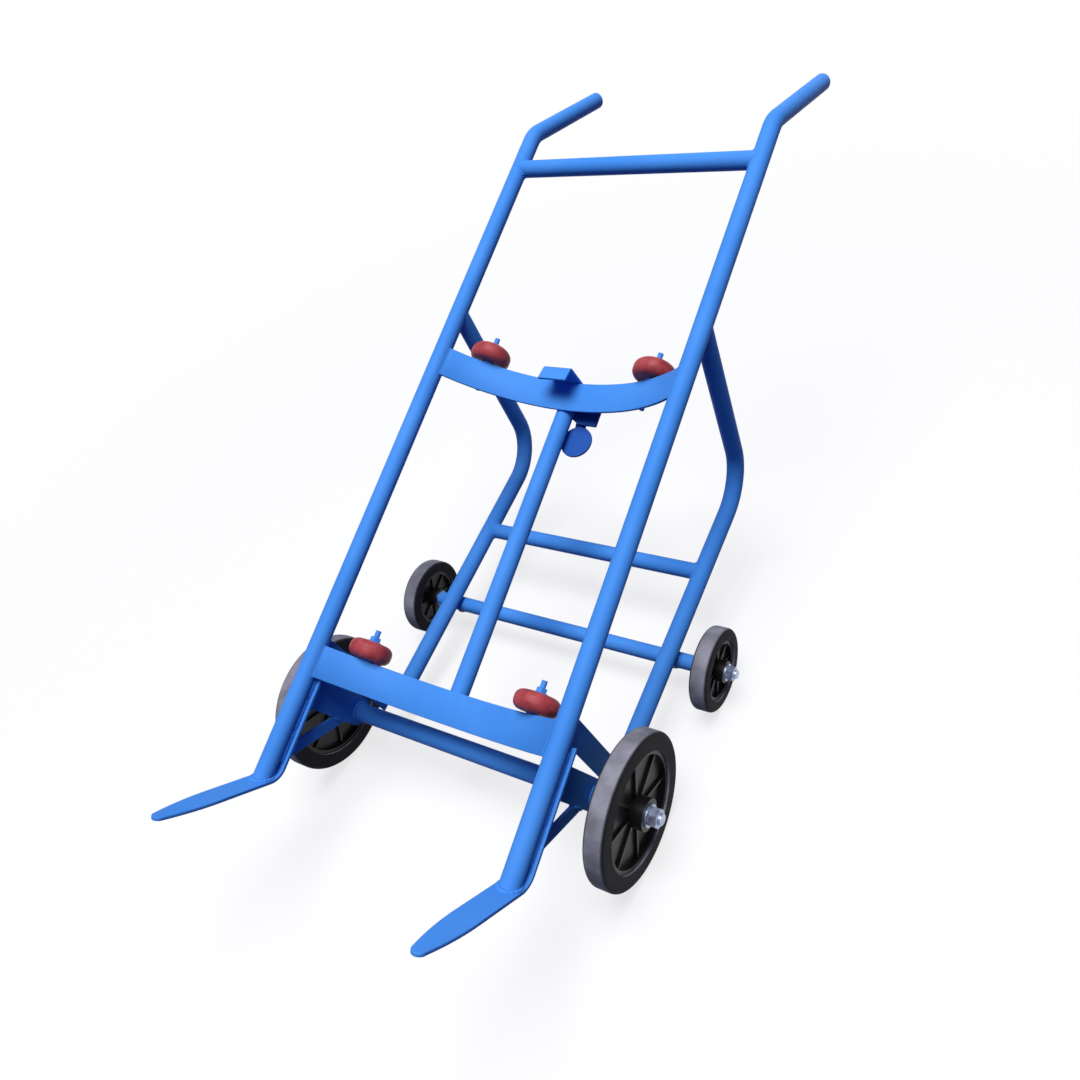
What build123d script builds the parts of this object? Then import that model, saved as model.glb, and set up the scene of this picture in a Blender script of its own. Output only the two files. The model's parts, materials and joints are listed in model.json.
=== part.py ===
"""Drum handler: a tubular hand truck on four wheels that carries a drum lying back on rollers.

The frame of the rails has x across, y behind the rails and z up along them from the heel.
The whole object then leans back until all four wheels stand on the floor, with +Z up.
"""

import os
from math import asin, atan2, cos, degrees, hypot, pi, radians, sin, sqrt, tan

from build123d import *

os.makedirs("parts", exist_ok=True)

sides = (("left", -1), ("right", 1))

# Fits and gaps
weld_gap = 0.2
run_gap = 0.05
slide_gap = 0.1
rod_gap = 0.1
bond_gap = 0.1
end_gap = 0.3
stop_gap = 0.3

# Side rails with their handles
rail_spacing = 512.0
rail_od = 33.7
rail_wall = 3.2
bend_z = 1369.0
handle_bend_r = 60.0
handle_length = 282.0
handle_angle = 32.0
cap_height = 8.0

# Top crossbar
crossbar_z = 1282.0
crossbar_od = 33.7
crossbar_wall = 3.2

# Cradle plates, bent to the drum
cradle_sag = 91.6
cradle_end_y = -3.1
cradle_t = 5.0
cradle_h = 58.0
upper_cradle_z = 797.5
lower_cradle_z = 186.5

# Centre tube behind the cradle plates
centre_x = -12.5
centre_od = 33.7
centre_wall = 3.2
centre_inset = 5.0

# Rear legs and the brace between them
leg_inset = 8.0
leg_od = 33.7
leg_wall = 3.2
leg_top_z = 935.4
knee_y = 396.0
knee_z = 844.0
knee_r = 90.0
leg_lean = 11.2
leg_foot_z = 204.0
brace_z = 621.0
brace_od = 31.8
brace_wall = 2.6

# Toe bars, upright behind the rails and bent forward under the drum
toe_w = 43.0
toe_t = 6.0
toe_angle = 116.5
toe_top_z = 214.0
heel_z = 7.5
heel_bend_r = 28.0
toe_length = 233.0
toe_taper_start = 122.0
toe_tip_r = 11.0

# Flat bars that join the rails to the legs and the front axle
foot_bar_w = 42.0
foot_bar_z = 239.0
foot_bar_slope = 9.0
side_bar_t = 6.0
bracket_h = 54.0
strut_w = 23.0
strut_z = 44.0
strut_slope = 41.0

# Axles
wheel_out = 71.0
front_axle_y = 176.0
front_axle_z = 162.0
front_tube_od = 33.7
front_rod_d = 20.0
rear_axle_z = 447.0
rear_tube_od = 30.0
rear_rod_d = 16.0

# Wheels
front_wheel_r = 130.0
front_wheel_w = 36.0
front_tyre_t = 30.0
front_hub_r = 27.0
front_hub_length = 60.0
rear_wheel_r = 78.0
rear_wheel_w = 34.0
rear_tyre_t = 21.0
rear_hub_r = 20.0
rear_hub_length = 48.0
tyre_shoulder_r = 7.0
rim_t = 7.0
rim_set = 4.0
web_t = 8.0
rib_t = 5.0
rib_set = 5.0
rib_count = 8
bush_t = 4.0

# Axle washers and nuts
front_washer_od = 38.0
front_nut_af = 30.0
front_nut_h = 16.0
rear_washer_od = 32.0
rear_nut_af = 24.0
rear_nut_h = 13.0
axle_washer_t = 3.0
axle_tail = 5.0
rod_chamfer = 1.5

# Turned corners of every nut and bolt head
crown_angle = 30.0
crown_face = 0.95

# Drum rollers on their studs
stud_in = 82.0
stud_mid_x = -8.0
stud_d = 10.0
stud_above = 58.0
stud_inset = 3.0
roller_r = 39.0
roller_w = 33.0
roller_edge_r = 14.0
roller_washer_od = 24.0
roller_washer_t = 2.0
roller_nut_af = 17.0
roller_nut_h = 8.0

# Sliding drum hook
hook_w = 58.0
hook_t = 5.0
hook_set_x = -6.5
hook_front_y = 40.0
hook_drop = 28.0
hook_lean = 12.0
hook_bend_r = 5.0
stem_length = 160.0

# Lock lever behind the centre tube
lug_reach = 65.0
lug_below = 9.5
lug_h = 53.0
lug_t = 6.0
lug_notch_w = 10.0
lug_notch_h = 16.0
pivot_reach = 24.5
pivot_up = 15.0
strap_w = 21.0
strap_t = 5.0
disc_r = 31.0
disc_t = 5.0
disc_reach = 33.0
disc_drop = 48.0
disc_gap = 0.5
lock_bolt_d = 8.0
lock_head_af = 13.0
lock_head_h = 5.3
lock_nut_h = 6.5
lock_tail = 3.0

# Radii and places that follow from the sizes
rail_x = rail_spacing / 2
rail_r = rail_od / 2
leg_x = rail_x - leg_inset
leg_r = leg_od / 2
track = rail_spacing + 2 * wheel_out
centre_r = centre_od / 2
front_tube_r = front_tube_od / 2
rear_tube_r = rear_tube_od / 2
cradle_chord = rail_x - rail_r
cradle_r = (cradle_chord**2 + cradle_sag**2) / (2 * cradle_sag)
cradle_depth = cradle_end_y + cradle_sag
cradle_centre_y = cradle_depth - cradle_r
cradle_back_r = cradle_r + cradle_t
upper_cradle_top = upper_cradle_z + cradle_h
cradle_tops = (upper_cradle_top, lower_cradle_z + cradle_h)


def behind_cradle(x, radius):
    """How far behind the rails a round piece lies that is welded to the cradle plates' back."""
    return cradle_centre_y + sqrt((cradle_back_r + weld_gap + radius) ** 2 - x**2)


def leg_y(z):
    """How far behind the rails the lower run of a leg is at height z."""
    return knee_y - tan(radians(leg_lean)) * (knee_z - z)


centre_y = behind_cradle(centre_x, centre_r)
stud_x = rail_x - stud_in
stud_places = [(x, behind_cradle(x, stud_d / 2)) for x in (stud_mid_x - stud_x, stud_mid_x + stud_x)]
rear_axle_y = leg_y(rear_axle_z) + (leg_r + rear_tube_r + weld_gap) / cos(radians(leg_lean))
upright_y = rail_r + weld_gap + toe_t / 2
toe_heading = (-sin(radians(toe_angle)), cos(radians(toe_angle)))
handle_heading = (sin(radians(handle_angle)), cos(radians(handle_angle)))


def along_toe(distance):
    """Point on the toe bar's centre line, measured forward from the heel."""
    return (upright_y + distance * toe_heading[0], heel_z + distance * toe_heading[1])


def along_handle(distance):
    """Point on a handle's centre line, measured up from the bend."""
    return (distance * handle_heading[0], bend_z + distance * handle_heading[1])


def inside_heel(offset):
    """Corner of the toe bar's centre line moved in towards the rail by an offset."""
    return (upright_y - offset, heel_z + offset / tan(radians(toe_angle / 2)))


# Lean that brings both axles to their wheels' height over the floor
axle_dy = rear_axle_y - front_axle_y
axle_dz = rear_axle_z - front_axle_z
axle_rise = asin((front_wheel_r - rear_wheel_r) / hypot(axle_dy, axle_dz))
lean = atan2(axle_dz, axle_dy) + axle_rise


def leaned(y, z):
    """Turn a y, z of the rails' frame by the lean."""
    return (cos(lean) * y + sin(lean) * z, cos(lean) * z - sin(lean) * y)


# Floor at zero height, and the object centred front to back over the origin
lift = front_wheel_r - leaned(front_axle_y, front_axle_z)[1]
handle_end = handle_length - cap_height
cap_dome_r = (rail_r**2 + cap_height**2) / (2 * cap_height)
rearmost = leaned(*along_handle(handle_length - cap_dome_r))[0] + cap_dome_r
toe_edge = abs(leaned(*toe_heading)[1]) * toe_t / 2
foremost = leaned(*along_toe(toe_length))[0] - toe_edge
shift = -(rearmost + foremost) / 2


def at(x, y, z):
    """Place of a point of the rails' frame once the object stands on its wheels."""
    turned_y, turned_z = leaned(y, z)
    return Vector(x, turned_y + shift, turned_z + lift)


def heading(y, z):
    """Direction in the rails' frame once the object stands on its wheels."""
    turned_y, turned_z = leaned(y, z)
    return Vector(0, turned_y, turned_z)


def across(z):
    """Plane square to the rails at height z: local x across, local y behind the rails."""
    return Plane(origin=at(0, 0, z), x_dir=(1, 0, 0), z_dir=heading(0, 1))


def beside(x):
    """Upright plane at x: local x behind the rails, local y along them."""
    return Plane(origin=at(x, 0, 0), x_dir=heading(1, 0), z_dir=(1, 0, 0))


def facing(y):
    """Plane parallel to the cradle's front at depth y: local x across, local y along the rails."""
    return Plane(origin=at(0, y, 0), x_dir=(1, 0, 0), z_dir=heading(-1, 0))


def leg_section(z):
    """Plane square to the lower runs of the legs, where they pass height z."""
    lean_heading = heading(sin(radians(leg_lean)), cos(radians(leg_lean)))
    return Plane(origin=at(0, leg_y(z), z), x_dir=(1, 0, 0), z_dir=lean_heading)


def save(piece, name):
    """Label a finished piece and write it."""
    piece.part.label = name
    export_step(piece.part, f"parts/{name}.step")


# Side rails, coped at the foot to sit on the toe bars
for side, hand in sides:
    with BuildPart() as side_rail:
        with BuildLine(beside(hand * rail_x)) as rail_line:
            FilletPolyline((0, heel_z - rail_od), (0, bend_z), along_handle(handle_end), radius=handle_bend_r)
        with BuildSketch(Plane(origin=rail_line.line @ 0, z_dir=rail_line.line % 0)):
            Circle(rail_r)
            Circle(rail_r - rail_wall, mode=Mode.SUBTRACT)
        sweep()
        with BuildSketch(beside(hand * rail_x)):
            with BuildLine():
                seat = inside_heel(toe_t / 2 + weld_gap / 2)
                seat_top = (seat[0], toe_top_z)
                seat_front = (seat[0] + toe_length * toe_heading[0], seat[1] + toe_length * toe_heading[1])
                FilletPolyline(seat_top, seat, seat_front, radius=heel_bend_r - weld_gap / 2)
                Polyline(seat_front, (seat_front[0], -toe_length), (seat_top[0], -toe_length))
                Polyline((seat_top[0], -toe_length), (seat_top[0] + toe_w, -toe_length))
                Polyline((seat_top[0] + toe_w, -toe_length), (seat_top[0] + toe_w, toe_top_z), seat_top)
            make_face()
        extrude(amount=rail_od, both=True, mode=Mode.SUBTRACT)
    save(side_rail, f"{side}_side_rail")

# Domed caps that close the handles
for side, hand in sides:
    cap_base = at(hand * rail_x, *along_handle(handle_end))
    cap_heading = heading(*handle_heading)
    with BuildPart() as handle_cap:
        with BuildSketch(Plane(origin=cap_base, x_dir=(1, 0, 0), z_dir=cap_heading.cross(Vector(-1, 0, 0)))):
            with BuildLine():
                dome_rim = degrees(asin((cap_dome_r - cap_height) / cap_dome_r))
                dome = CenterArc((0, cap_height - cap_dome_r), cap_dome_r, dome_rim, 90 - dome_rim)
                Polyline(dome @ 1, (0, 0), dome @ 0)
            make_face()
        revolve(axis=Axis(cap_base, cap_heading))
    save(handle_cap, f"{side}_handle_cap")

# Top crossbar, coped between the rails
with BuildPart() as top_crossbar:
    with BuildSketch(beside(0)):
        with Locations((0, crossbar_z)):
            Circle(crossbar_od / 2)
            Circle(crossbar_od / 2 - crossbar_wall, mode=Mode.SUBTRACT)
    extrude(amount=rail_x, both=True)
    with BuildSketch(across(crossbar_z)):
        with Locations((-rail_x, 0), (rail_x, 0)):
            Circle(rail_r + weld_gap)
    extrude(amount=crossbar_od, both=True, mode=Mode.SUBTRACT)
save(top_crossbar, "top_crossbar")

# Cradle plates, flat bars on edge whose ends run into the rails' inner sides
for level, cradle_z in (("upper", upper_cradle_z), ("lower", lower_cradle_z)):
    with BuildPart() as cradle_plate:
        with BuildSketch(across(cradle_z)):
            with Locations((0, cradle_centre_y)):
                Circle(cradle_back_r)
                Circle(cradle_r, mode=Mode.SUBTRACT)
            with Locations((0, cradle_depth)):
                Rectangle(2 * rail_x - rail_r, 2 * (cradle_depth + rail_r), mode=Mode.INTERSECT)
            with Locations((-rail_x, 0), (rail_x, 0)):
                Circle(rail_r + weld_gap, mode=Mode.SUBTRACT)
        extrude(amount=cradle_h)
    save(cradle_plate, f"{level}_cradle_plate")

# Centre tube, welded behind both cradle plates
with BuildPart() as centre_tube:
    with BuildSketch(across(lower_cradle_z + centre_inset)):
        with Locations((centre_x, centre_y)):
            Circle(centre_r)
            Circle(centre_r - centre_wall, mode=Mode.SUBTRACT)
    extrude(amount=upper_cradle_top - lower_cradle_z - 2 * centre_inset)
save(centre_tube, "centre_tube")

# Rear legs, coped to the backs of the rails
for side, hand in sides:
    with BuildPart() as rear_leg:
        with BuildLine() as leg_line:
            leg_top = at(hand * rail_x, 0, leg_top_z)
            knee = at(hand * leg_x, knee_y, knee_z)
            leg_foot = at(hand * leg_x, leg_y(leg_foot_z), leg_foot_z)
            FilletPolyline(leg_top, knee, leg_foot, radius=knee_r)
        with BuildSketch(Plane(origin=leg_line.line @ 0, z_dir=leg_line.line % 0)):
            Circle(leg_r)
            Circle(leg_r - leg_wall, mode=Mode.SUBTRACT)
        sweep()
        with BuildSketch(across(leg_top_z)):
            with Locations((hand * rail_x, 0)):
                Circle(rail_r + weld_gap)
        extrude(amount=2 * leg_od, both=True, mode=Mode.SUBTRACT)
    save(rear_leg, f"{side}_rear_leg")

# Rear brace, coped between the legs
with BuildPart() as rear_brace_tube:
    with BuildSketch(beside(0)):
        with Locations((leg_y(brace_z), brace_z)):
            Circle(brace_od / 2)
            Circle(brace_od / 2 - brace_wall, mode=Mode.SUBTRACT)
    extrude(amount=leg_x, both=True)
    with BuildSketch(leg_section(brace_z)):
        with Locations((-leg_x, 0), (leg_x, 0)):
            Circle(leg_r + weld_gap)
    extrude(amount=brace_od, both=True, mode=Mode.SUBTRACT)
save(rear_brace_tube, "rear_brace_tube")

# Toe bars: one flat bar a side, swept round the heel, with a tapered toe
for side, hand in sides:
    bar_start = at(hand * rail_x, upright_y, toe_top_z)
    heel = at(hand * rail_x, upright_y, heel_z)
    toe_down = heading(-cos(radians(toe_angle)), -sin(radians(toe_angle)))
    with BuildPart() as toe_bar:
        with BuildLine(beside(hand * rail_x)):
            bar_top = (upright_y, toe_top_z)
            bar_heel = (upright_y, heel_z)
            FilletPolyline(bar_top, bar_heel, along_toe(toe_taper_start), radius=heel_bend_r + toe_t / 2)
        with BuildSketch(Plane(origin=bar_start, x_dir=(1, 0, 0), z_dir=heading(0, -1))):
            Rectangle(toe_w, toe_t)
        sweep()
        with BuildSketch(Plane(origin=heel, x_dir=(1, 0, 0), z_dir=toe_down)):
            with BuildLine():
                tip_y = toe_length - toe_tip_r
                Line((-toe_w / 2, toe_taper_start), (toe_w / 2, toe_taper_start))
                TangentArc((toe_w / 2, toe_taper_start), (toe_tip_r, tip_y), tangent=(0, 1))
                TangentArc((-toe_w / 2, toe_taper_start), (-toe_tip_r, tip_y), tangent=(0, 1))
                ThreePointArc((toe_tip_r, tip_y), (0, toe_length), (-toe_tip_r, tip_y))
            make_face()
        extrude(amount=toe_t / 2, both=True)
    save(toe_bar, f"{side}_toe_bar")

# Foot bars, from the rails' backs to the feet of the legs
for side, hand in sides:
    bar_from = rail_r + weld_gap
    bar_to = leg_y(foot_bar_z)
    bar_drop = (bar_to - bar_from) * tan(radians(foot_bar_slope))
    bar_half = foot_bar_w / 2 / cos(radians(foot_bar_slope))
    with BuildPart() as foot_bar:
        with BuildSketch(beside(hand * rail_x)):
            with BuildLine():
                bar_front = ((bar_from, foot_bar_z - bar_half), (bar_from, foot_bar_z + bar_half))
                bar_rear_z = foot_bar_z - bar_drop
                bar_rear = ((bar_to, bar_rear_z + bar_half), (bar_to, bar_rear_z - bar_half))
                Polyline(*bar_front, *bar_rear, close=True)
            make_face()
        extrude(amount=side_bar_t / 2, both=True)
        with BuildSketch(leg_section(foot_bar_z)):
            with Locations((hand * leg_x, 0)):
                Circle(leg_r + weld_gap)
        extrude(amount=2 * foot_bar_w, both=True, mode=Mode.SUBTRACT)
    save(foot_bar, f"{side}_foot_bar")

# Axle brackets, from the toe bars' uprights to the front axle tube
bracket_y = upright_y + toe_t / 2
bracket_low = front_axle_z - bracket_h / 2
for side, hand in sides:
    with BuildPart() as axle_bracket:
        with BuildSketch(beside(hand * rail_x)):
            with Locations(((bracket_y + front_axle_y) / 2, front_axle_z)):
                Rectangle(front_axle_y - bracket_y, bracket_h)
            with Locations((front_axle_y, front_axle_z)):
                Circle(bracket_h / 2)
                Circle(front_tube_r + weld_gap, mode=Mode.SUBTRACT)
        extrude(amount=side_bar_t / 2, both=True)
    save(axle_bracket, f"{side}_axle_bracket")

# Axle struts, from low on the uprights to the brackets' lower edges
strut_half = strut_w / 2 / cos(radians(strut_slope))
strut_tan = tan(radians(strut_slope))
strut_rise = bracket_low - strut_z
for side, hand in sides:
    with BuildPart() as axle_strut:
        with BuildSketch(beside(hand * rail_x)):
            with BuildLine():
                strut_foot = ((bracket_y, strut_z + strut_half), (bracket_y, strut_z - strut_half))
                strut_rear = (bracket_y + (strut_rise + strut_half) / strut_tan, bracket_low)
                strut_near = (bracket_y + (strut_rise - strut_half) / strut_tan, bracket_low)
                Polyline(*strut_foot, strut_rear, strut_near, close=True)
            make_face()
        extrude(amount=side_bar_t / 2, both=True)
    save(axle_strut, f"{side}_axle_strut")


def hexagon(seat, af, height, bore_r):
    """Nut or bolt head on a seat plane, its corners turned down, added to the piece being built."""
    face_r = crown_face * af / 2
    corner_r = af / 2 / cos(pi / 6)
    turned = (corner_r - face_r) * tan(radians(crown_angle))
    with BuildPart(mode=Mode.PRIVATE) as head:
        with BuildSketch(Plane(origin=seat.origin, x_dir=seat.x_dir, z_dir=-seat.y_dir)):
            with BuildLine():
                lower = ((bore_r, 0), (face_r, 0), (corner_r, turned))
                upper = ((corner_r, height - turned), (face_r, height), (bore_r, height))
                Polyline(*lower, *upper, close=True)
            make_face()
        revolve(axis=Axis(seat.origin, seat.z_dir))
        with BuildSketch(seat):
            RegularPolygon(af / 2, 6, major_radius=False)
        extrude(amount=height, mode=Mode.INTERSECT)
    add(head.part)


def axle(name, y, z, tube_od, rod_d, hub_length, washer_od, nut_af, nut_h):
    """Axle tube, the rod inside it, and the washers and nuts that hold the two wheels."""
    hub_inner = track / 2 - hub_length / 2 - end_gap
    hub_outer = track / 2 + hub_length / 2 + end_gap
    tube_end = hub_inner - axle_washer_t
    nut_from = hub_outer + axle_washer_t
    rod_end = nut_from + nut_h + axle_tail

    with BuildPart() as axle_tube:
        with BuildSketch(beside(0)):
            with Locations((y, z)):
                Circle(tube_od / 2)
                Circle(rod_d / 2 + rod_gap, mode=Mode.SUBTRACT)
        extrude(amount=tube_end, both=True)
    save(axle_tube, f"{name}_axle_tube")

    with BuildPart() as axle_rod:
        with BuildSketch(beside(0)):
            with Locations((y, z)):
                Circle(rod_d / 2)
        extrude(amount=rod_end, both=True)
        chamfer(axle_rod.edges().filter_by(GeomType.CIRCLE), rod_chamfer)
    save(axle_rod, f"{name}_axle_rod")

    with BuildPart() as axle_washers:
        for washer_x in (-nut_from, -hub_inner, tube_end, hub_outer):
            with BuildSketch(beside(washer_x)):
                with Locations((y, z)):
                    Circle(washer_od / 2)
                    Circle(rod_d / 2 + rod_gap, mode=Mode.SUBTRACT)
            extrude(amount=axle_washer_t)
    save(axle_washers, f"{name}_axle_washers")

    with BuildPart() as axle_nuts:
        for nut_x in (-nut_from - nut_h, nut_from):
            nut_seat = Plane(origin=at(nut_x, y, z), x_dir=heading(1, 0), z_dir=(1, 0, 0))
            hexagon(nut_seat, nut_af, nut_h, rod_d / 2 + rod_gap)
    save(axle_nuts, f"{name}_axle_nuts")


axle(
    "front", front_axle_y, front_axle_z, front_tube_od, front_rod_d,
    front_hub_length, front_washer_od, front_nut_af, front_nut_h,
)
axle(
    "rear", rear_axle_y, rear_axle_z, rear_tube_od, rear_rod_d,
    rear_hub_length, rear_washer_od, rear_nut_af, rear_nut_h,
)


def wheel(name, x, y, z, radius, width, tyre_t, hub_r, hub_length, rod_d):
    """Solid rubber tyre, ribbed wheel centre and the bush it turns on."""
    middle = at(x, y, z)
    spin = Axis(middle, (1, 0, 0))
    half_section = Plane(origin=middle, x_dir=(1, 0, 0), z_dir=heading(-1, 0))
    disc_face = Plane(origin=middle, x_dir=heading(1, 0), z_dir=(1, 0, 0))
    bush_bore = rod_d / 2 + run_gap
    bush_seat = bush_bore + bush_t + bond_gap
    rim_r = radius - tyre_t
    tyre_seat = rim_r + bond_gap

    with BuildPart() as tyre:
        with BuildSketch(half_section) as tyre_profile:
            with Locations((0, (radius + tyre_seat) / 2)):
                Rectangle(width, radius - tyre_seat)
            fillet(tyre_profile.vertices().group_by(Axis.Y)[-1], tyre_shoulder_r)
        revolve(axis=spin)
    save(tyre, f"{name}_tyre")

    with BuildPart() as wheel_centre:
        with BuildSketch(half_section):
            with Locations((0, rim_r - rim_t / 2)):
                Rectangle(width - 2 * rim_set, rim_t)
            with Locations((0, (rim_r + bush_seat) / 2)):
                Rectangle(web_t, rim_r - bush_seat)
            with Locations((0, (hub_r + bush_seat) / 2)):
                Rectangle(hub_length, hub_r - bush_seat)
        revolve(axis=spin)
        with BuildSketch(disc_face):
            with PolarLocations((rim_r - rim_t / 2 + bush_seat) / 2, rib_count):
                Rectangle(rim_r - rim_t / 2 - bush_seat, rib_t)
            Circle((hub_r + bush_seat) / 2, mode=Mode.SUBTRACT)
        extrude(amount=width / 2 - rim_set - rib_set, both=True)
    save(wheel_centre, f"{name}_wheel_centre")

    with BuildPart() as bush:
        with BuildSketch(disc_face):
            Circle(bush_bore + bush_t)
            Circle(bush_bore, mode=Mode.SUBTRACT)
        extrude(amount=hub_length / 2, both=True)
    save(bush, f"{name}_bush")


for side, hand in sides:
    wheel(
        f"{side}_front", hand * track / 2, front_axle_y, front_axle_z, front_wheel_r, front_wheel_w,
        front_tyre_t, front_hub_r, front_hub_length, front_rod_d,
    )
    wheel(
        f"{side}_rear", hand * track / 2, rear_axle_y, rear_axle_z, rear_wheel_r, rear_wheel_w,
        rear_tyre_t, rear_hub_r, rear_hub_length, rear_rod_d,
    )

# Studs welded behind the cradle plates, with the washers and nuts that hold the rollers
roller_from = roller_washer_t + end_gap
upper_washer_from = roller_from + roller_w + end_gap
roller_nut_from = upper_washer_from + roller_washer_t

with BuildPart() as roller_studs:
    for cradle_top in cradle_tops:
        with BuildSketch(across(cradle_top - cradle_h + stud_inset)):
            with Locations(*stud_places):
                Circle(stud_d / 2)
        extrude(amount=cradle_h - stud_inset + stud_above)
save(roller_studs, "roller_studs")

with BuildPart() as roller_washers:
    for cradle_top in cradle_tops:
        for washer_z in (cradle_top, cradle_top + upper_washer_from):
            with BuildSketch(across(washer_z)):
                with Locations(*stud_places):
                    Circle(roller_washer_od / 2)
                    Circle(stud_d / 2 + rod_gap, mode=Mode.SUBTRACT)
            extrude(amount=roller_washer_t)
save(roller_washers, "roller_washers")

with BuildPart() as roller_nuts:
    for cradle_top in cradle_tops:
        for stud_place in stud_places:
            nut_base = at(*stud_place, cradle_top + roller_nut_from)
            nut_seat = Plane(origin=nut_base, x_dir=(1, 0, 0), z_dir=heading(0, 1))
            hexagon(nut_seat, roller_nut_af, roller_nut_h, stud_d / 2 + rod_gap)
save(roller_nuts, "roller_nuts")

# Drum rollers, crowned, one on each stud
roller_bore = stud_d / 2 + run_gap
for level, cradle_top in zip(("upper", "lower"), cradle_tops):
    for side, stud_place in zip(("left", "right"), stud_places):
        roller_base = at(*stud_place, cradle_top + roller_from)
        half_section = Plane(origin=roller_base, x_dir=(1, 0, 0), z_dir=heading(-1, 0))
        with BuildPart() as roller:
            with BuildSketch(half_section) as roller_profile:
                with Locations(((roller_r + roller_bore) / 2, roller_w / 2)):
                    Rectangle(roller_r - roller_bore, roller_w)
                fillet(roller_profile.vertices().group_by(Axis.X)[-1], roller_edge_r)
            revolve(axis=Axis(roller_base, heading(0, 1)))
        save(roller, f"{level}_{side}_roller")

# Drum hook: a bent plate on a stem that slides in the centre tube
flange_under = upper_cradle_top + stop_gap
flange_mid = flange_under + hook_t / 2
stem_r = centre_r - centre_wall - slide_gap

with BuildPart() as hook_stem:
    with BuildSketch(across(flange_under - stem_length)):
        with Locations((centre_x, centre_y)):
            Circle(stem_r)
    extrude(amount=stem_length)
save(hook_stem, "hook_stem")

hook_x = centre_x + hook_set_x
with BuildPart() as hook_plate:
    with BuildLine(beside(hook_x)):
        lip_mid = hook_front_y + hook_t / 2
        flange_rear = (centre_y + stem_r, flange_mid)
        lip_end = (lip_mid - hook_drop * tan(radians(hook_lean)), flange_mid - hook_drop)
        FilletPolyline(flange_rear, (lip_mid, flange_mid), lip_end, radius=hook_bend_r)
    with BuildSketch(Plane(origin=at(hook_x, *flange_rear), x_dir=(1, 0, 0), z_dir=heading(-1, 0))):
        Rectangle(hook_w, hook_t)
    sweep()
save(hook_plate, "hook_plate")

# Lock lever: a strap with a round weight, on a bolt through a lug that is flush with the tube's back
lug_back = centre_y + centre_r
lug_front = lug_back - lug_t
lug_z = upper_cradle_z - lug_below
pivot_x = centre_x + pivot_reach
pivot_z = lug_z + pivot_up
disc_x = centre_x + disc_reach
disc_z = pivot_z - disc_drop
disc_front = lug_back + disc_gap
strap_front = disc_front + disc_t
strap_back = strap_front + strap_t
strap_length = hypot(disc_x - pivot_x, pivot_z - disc_z)
strap_turn = degrees(atan2(disc_z - pivot_z, disc_x - pivot_x))
lock_bore = lock_bolt_d / 2 + run_gap

with BuildPart() as lock_lug:
    with BuildSketch(facing(lug_front)):
        with BuildLine():
            notch_x = centre_x + centre_r + lug_notch_w
            lug_end = centre_x + lug_reach
            lug_top = lug_z + lug_h
            lug_outer = ((lug_end, lug_top), (lug_end, lug_z), (notch_x, lug_z))
            Polyline((centre_x, lug_top), *lug_outer, (centre_x, lug_z + lug_notch_h), close=True)
        make_face()
        with Locations((pivot_x, pivot_z)):
            Circle(lock_bolt_d / 2 + rod_gap, mode=Mode.SUBTRACT)
    extrude(amount=-lug_t)
    with BuildSketch(across(lug_z)):
        with Locations((centre_x, centre_y)):
            Circle(centre_r + weld_gap)
    extrude(amount=lug_h, mode=Mode.SUBTRACT)
save(lock_lug, "lock_lug")

with BuildPart() as lock_disc:
    with BuildSketch(facing(disc_front)):
        with Locations((disc_x, disc_z)):
            Circle(disc_r)
    extrude(amount=-disc_t)
save(lock_disc, "lock_disc")

with BuildPart() as lock_strap:
    with BuildSketch(facing(strap_front)):
        with Locations(Location((pivot_x, pivot_z, 0), (0, 0, strap_turn))):
            with Locations((strap_length / 2, 0)):
                SlotCenterToCenter(strap_length, strap_w)
            Circle(lock_bore, mode=Mode.SUBTRACT)
    extrude(amount=-strap_t)
save(lock_strap, "lock_strap")

with BuildPart() as lock_spacer:
    with BuildSketch(facing(lug_back)):
        with Locations((pivot_x, pivot_z)):
            Circle(lock_head_af / 2)
            Circle(lock_bolt_d / 2 + rod_gap, mode=Mode.SUBTRACT)
    extrude(amount=-(strap_front - end_gap - lug_back))
save(lock_spacer, "lock_spacer")

lock_nut_y = strap_back + end_gap
with BuildPart() as lock_bolt:
    head_seat = Plane(origin=at(pivot_x, lug_front, pivot_z), x_dir=(1, 0, 0), z_dir=heading(-1, 0))
    hexagon(head_seat, lock_head_af, lock_head_h, 0)
    with BuildSketch(head_seat):
        Circle(lock_bolt_d / 2)
    extrude(amount=-(lock_nut_y + lock_nut_h + lock_tail - lug_front))
save(lock_bolt, "lock_bolt")

with BuildPart() as lock_nut:
    nut_seat = Plane(origin=at(pivot_x, lock_nut_y, pivot_z), x_dir=(1, 0, 0), z_dir=heading(1, 0))
    hexagon(nut_seat, lock_head_af, lock_nut_h, lock_bolt_d / 2 + rod_gap)
save(lock_nut, "lock_nut")
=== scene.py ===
import json
from math import atan2, cos, hypot, pi, radians, sin, sqrt, tan

import bpy
from mathutils import Matrix, Vector


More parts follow.
